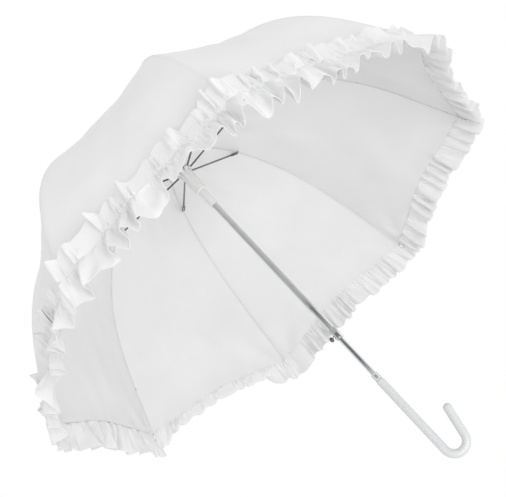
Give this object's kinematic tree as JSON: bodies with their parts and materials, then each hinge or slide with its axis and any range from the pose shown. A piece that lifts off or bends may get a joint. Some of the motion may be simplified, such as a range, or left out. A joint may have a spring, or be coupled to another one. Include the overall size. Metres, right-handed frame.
{
  "type": "frilled parasol",
  "caption": "Open dome parasol with a gathered frill round the rim, a sliding runner, a two-tube shaft and a crook handle.",
  "frame": {"origin": "middle of the straight grip, on the shaft's axis", "axes": "+Z along the shaft to the ferrule; the crook bends towards +X"},
  "size_m": [0.815, 0.815, 0.7286],
  "materials": {
    "white_cloth": "plain woven, matt",
    "gloss_white_plastic": "moulded, glossy",
    "matt_white_plastic": "moulded, satin",
    "chromed_tube": "bright plated tube",
    "painted_rib_wire": "grey-white painted wire",
    "steel_wire": "drawn wire"
  },
  "bodies": {
    "grip_and_lower_tube": {"handle": "gloss_white_plastic", "handle_collar": "gloss_white_plastic", "lower_tube": "chromed_tube"},
    "upper_shaft": {"upper_tube": "chromed_tube", "lock_collar": "chromed_tube", "catch_spring": "steel_wire", "crown_notch": "matt_white_plastic", "crown_wire": "steel_wire", "crown_cap": "matt_white_plastic", "ferrule": "gloss_white_plastic"},
    "lock_button": {"lock_button": "chromed_tube"},
    "top_catch": {"top_catch": "steel_wire"},
    "runner": {"runner": "matt_white_plastic", "runner_wire": "steel_wire"},
    "rib_1": {"rib_1": "painted_rib_wire", "rib_tip_1": "steel_wire", "canopy_gore_1": "white_cloth", "frill_1": "white_cloth"},
    "stretcher_1": {"stretcher_1": "steel_wire"},
    "rib_2": {"rib_2": "painted_rib_wire", "rib_tip_2": "steel_wire", "canopy_gore_2": "white_cloth", "frill_2": "white_cloth"},
    "stretcher_2": {"stretcher_2": "steel_wire"},
    "rib_3": {"rib_3": "painted_rib_wire", "rib_tip_3": "steel_wire", "canopy_gore_3": "white_cloth", "frill_3": "white_cloth"},
    "stretcher_3": {"stretcher_3": "steel_wire"},
    "rib_4": {"rib_4": "painted_rib_wire", "rib_tip_4": "steel_wire", "canopy_gore_4": "white_cloth", "frill_4": "white_cloth"},
    "stretcher_4": {"stretcher_4": "steel_wire"},
    "rib_5": {"rib_5": "painted_rib_wire", "rib_tip_5": "steel_wire", "canopy_gore_5": "white_cloth", "frill_5": "white_cloth"},
    "stretcher_5": {"stretcher_5": "steel_wire"},
    "rib_6": {"rib_6": "painted_rib_wire", "rib_tip_6": "steel_wire", "canopy_gore_6": "white_cloth", "frill_6": "white_cloth"},
    "stretcher_6": {"stretcher_6": "steel_wire"},
    "rib_7": {"rib_7": "painted_rib_wire", "rib_tip_7": "steel_wire", "canopy_gore_7": "white_cloth", "frill_7": "white_cloth"},
    "stretcher_7": {"stretcher_7": "steel_wire"},
    "rib_8": {"rib_8": "painted_rib_wire", "rib_tip_8": "steel_wire", "canopy_gore_8": "white_cloth", "frill_8": "white_cloth"},
    "stretcher_8": {"stretcher_8": "steel_wire"}
  },
  "joints": [
    {"name": "shaft_telescope", "type": "slide", "parent": "grip_and_lower_tube", "child": "upper_shaft", "axis": [0, 0, -1], "range_m": [0, 0.068]},
    {"name": "lock_button_press", "type": "slide", "parent": "upper_shaft", "child": "lock_button", "axis": [1, 0, 0], "range_m": [0, 0.001], "stiffness_N_per_m": 500},
    {"name": "top_catch_press", "type": "slide", "parent": "upper_shaft", "child": "top_catch", "axis": [0, -1, 0], "range_m": [0, 0.0012], "stiffness_N_per_m": 500, "deforming": ["catch_spring"]},
    {"name": "runner_slide", "type": "slide", "parent": "upper_shaft", "child": "runner", "axis": [0, 0, -1], "range_m": [0, 0.2144]},
    {"name": "rib_1_fold", "type": "hinge", "parent": "upper_shaft", "child": "rib_1", "pos_m": [0.01159, 0.00311, 0.594], "axis": [-0.2588, 0.9659, 0], "range_deg": [0, 46.1], "deforming": ["canopy_gore_1", "frill_1"]},
    {"name": "stretcher_1_swing", "type": "hinge", "parent": "runner", "child": "stretcher_1", "pos_m": [0.01159, 0.00311, 0.524], "axis": [0.2588, -0.9659, 0], "range_deg": [0, 36.63]},
    {"name": "rib_2_fold", "type": "hinge", "parent": "upper_shaft", "child": "rib_2", "pos_m": [0.006, 0.01039, 0.594], "axis": [-0.866, 0.5, 0], "range_deg": [0, 46.1], "deforming": ["canopy_gore_2", "frill_2"]},
    {"name": "stretcher_2_swing", "type": "hinge", "parent": "runner", "child": "stretcher_2", "pos_m": [0.006, 0.01039, 0.524], "axis": [0.866, -0.5, 0], "range_deg": [0, 36.63]},
    {"name": "rib_3_fold", "type": "hinge", "parent": "upper_shaft", "child": "rib_3", "pos_m": [-0.00311, 0.01159, 0.594], "axis": [-0.9659, -0.2588, 0], "range_deg": [0, 46.1], "deforming": ["canopy_gore_3", "frill_3"]},
    {"name": "stretcher_3_swing", "type": "hinge", "parent": "runner", "child": "stretcher_3", "pos_m": [-0.00311, 0.01159, 0.524], "axis": [0.9659, 0.2588, 0], "range_deg": [0, 36.63]},
    {"name": "rib_4_fold", "type": "hinge", "parent": "upper_shaft", "child": "rib_4", "pos_m": [-0.01039, 0.006, 0.594], "axis": [-0.5, -0.866, 0], "range_deg": [0, 46.1], "deforming": ["canopy_gore_4", "frill_4"]},
    {"name": "stretcher_4_swing", "type": "hinge", "parent": "runner", "child": "stretcher_4", "pos_m": [-0.01039, 0.006, 0.524], "axis": [0.5, 0.866, 0], "range_deg": [0, 36.63]},
    {"name": "rib_5_fold", "type": "hinge", "parent": "upper_shaft", "child": "rib_5", "pos_m": [-0.01159, -0.00311, 0.594], "axis": [0.2588, -0.9659, 0], "range_deg": [0, 46.1], "deforming": ["canopy_gore_5", "frill_5"]},
    {"name": "stretcher_5_swing", "type": "hinge", "parent": "runner", "child": "stretcher_5", "pos_m": [-0.01159, -0.00311, 0.524], "axis": [-0.2588, 0.9659, 0], "range_deg": [0, 36.63]},
    {"name": "rib_6_fold", "type": "hinge", "parent": "upper_shaft", "child": "rib_6", "pos_m": [-0.006, -0.01039, 0.594], "axis": [0.866, -0.5, 0], "range_deg": [0, 46.1], "deforming": ["canopy_gore_6", "frill_6"]},
    {"name": "stretcher_6_swing", "type": "hinge", "parent": "runner", "child": "stretcher_6", "pos_m": [-0.006, -0.01039, 0.524], "axis": [-0.866, 0.5, 0], "range_deg": [0, 36.63]},
    {"name": "rib_7_fold", "type": "hinge", "parent": "upper_shaft", "child": "rib_7", "pos_m": [0.00311, -0.01159, 0.594], "axis": [0.9659, 0.2588, 0], "range_deg": [0, 46.1], "deforming": ["canopy_gore_7", "frill_7"]},
    {"name": "stretcher_7_swing", "type": "hinge", "parent": "runner", "child": "stretcher_7", "pos_m": [0.00311, -0.01159, 0.524], "axis": [-0.9659, -0.2588, 0], "range_deg": [0, 36.63]},
    {"name": "rib_8_fold", "type": "hinge", "parent": "upper_shaft", "child": "rib_8", "pos_m": [0.01039, -0.006, 0.594], "axis": [0.5, 0.866, 0], "range_deg": [0, 46.1], "deforming": ["canopy_gore_8", "frill_8"]},
    {"name": "stretcher_8_swing", "type": "hinge", "parent": "runner", "child": "stretcher_8", "pos_m": [0.01039, -0.006, 0.524], "axis": [-0.5, -0.866, 0], "range_deg": [0, 36.63]}
  ],
  "couplings": [
    {"joint": "rib_1_fold", "follows": "runner_slide", "rad_per_m": 3.7446},
    {"joint": "stretcher_1_swing", "follows": "runner_slide", "rad_per_m": 2.974},
    {"joint": "rib_2_fold", "follows": "runner_slide", "rad_per_m": 3.7446},
    {"joint": "stretcher_2_swing", "follows": "runner_slide", "rad_per_m": 2.974},
    {"joint": "rib_3_fold", "follows": "runner_slide", "rad_per_m": 3.7446},
    {"joint": "stretcher_3_swing", "follows": "runner_slide", "rad_per_m": 2.974},
    {"joint": "rib_4_fold", "follows": "runner_slide", "rad_per_m": 3.7446},
    {"joint": "stretcher_4_swing", "follows": "runner_slide", "rad_per_m": 2.974},
    {"joint": "rib_5_fold", "follows": "runner_slide", "rad_per_m": 3.7446},
    {"joint": "stretcher_5_swing", "follows": "runner_slide", "rad_per_m": 2.974},
    {"joint": "rib_6_fold", "follows": "runner_slide", "rad_per_m": 3.7446},
    {"joint": "stretcher_6_swing", "follows": "runner_slide", "rad_per_m": 2.974},
    {"joint": "rib_7_fold", "follows": "runner_slide", "rad_per_m": 3.7446},
    {"joint": "stretcher_7_swing", "follows": "runner_slide", "rad_per_m": 2.974},
    {"joint": "rib_8_fold", "follows": "runner_slide", "rad_per_m": 3.7446},
    {"joint": "stretcher_8_swing", "follows": "runner_slide", "rad_per_m": 2.974}
  ]
}
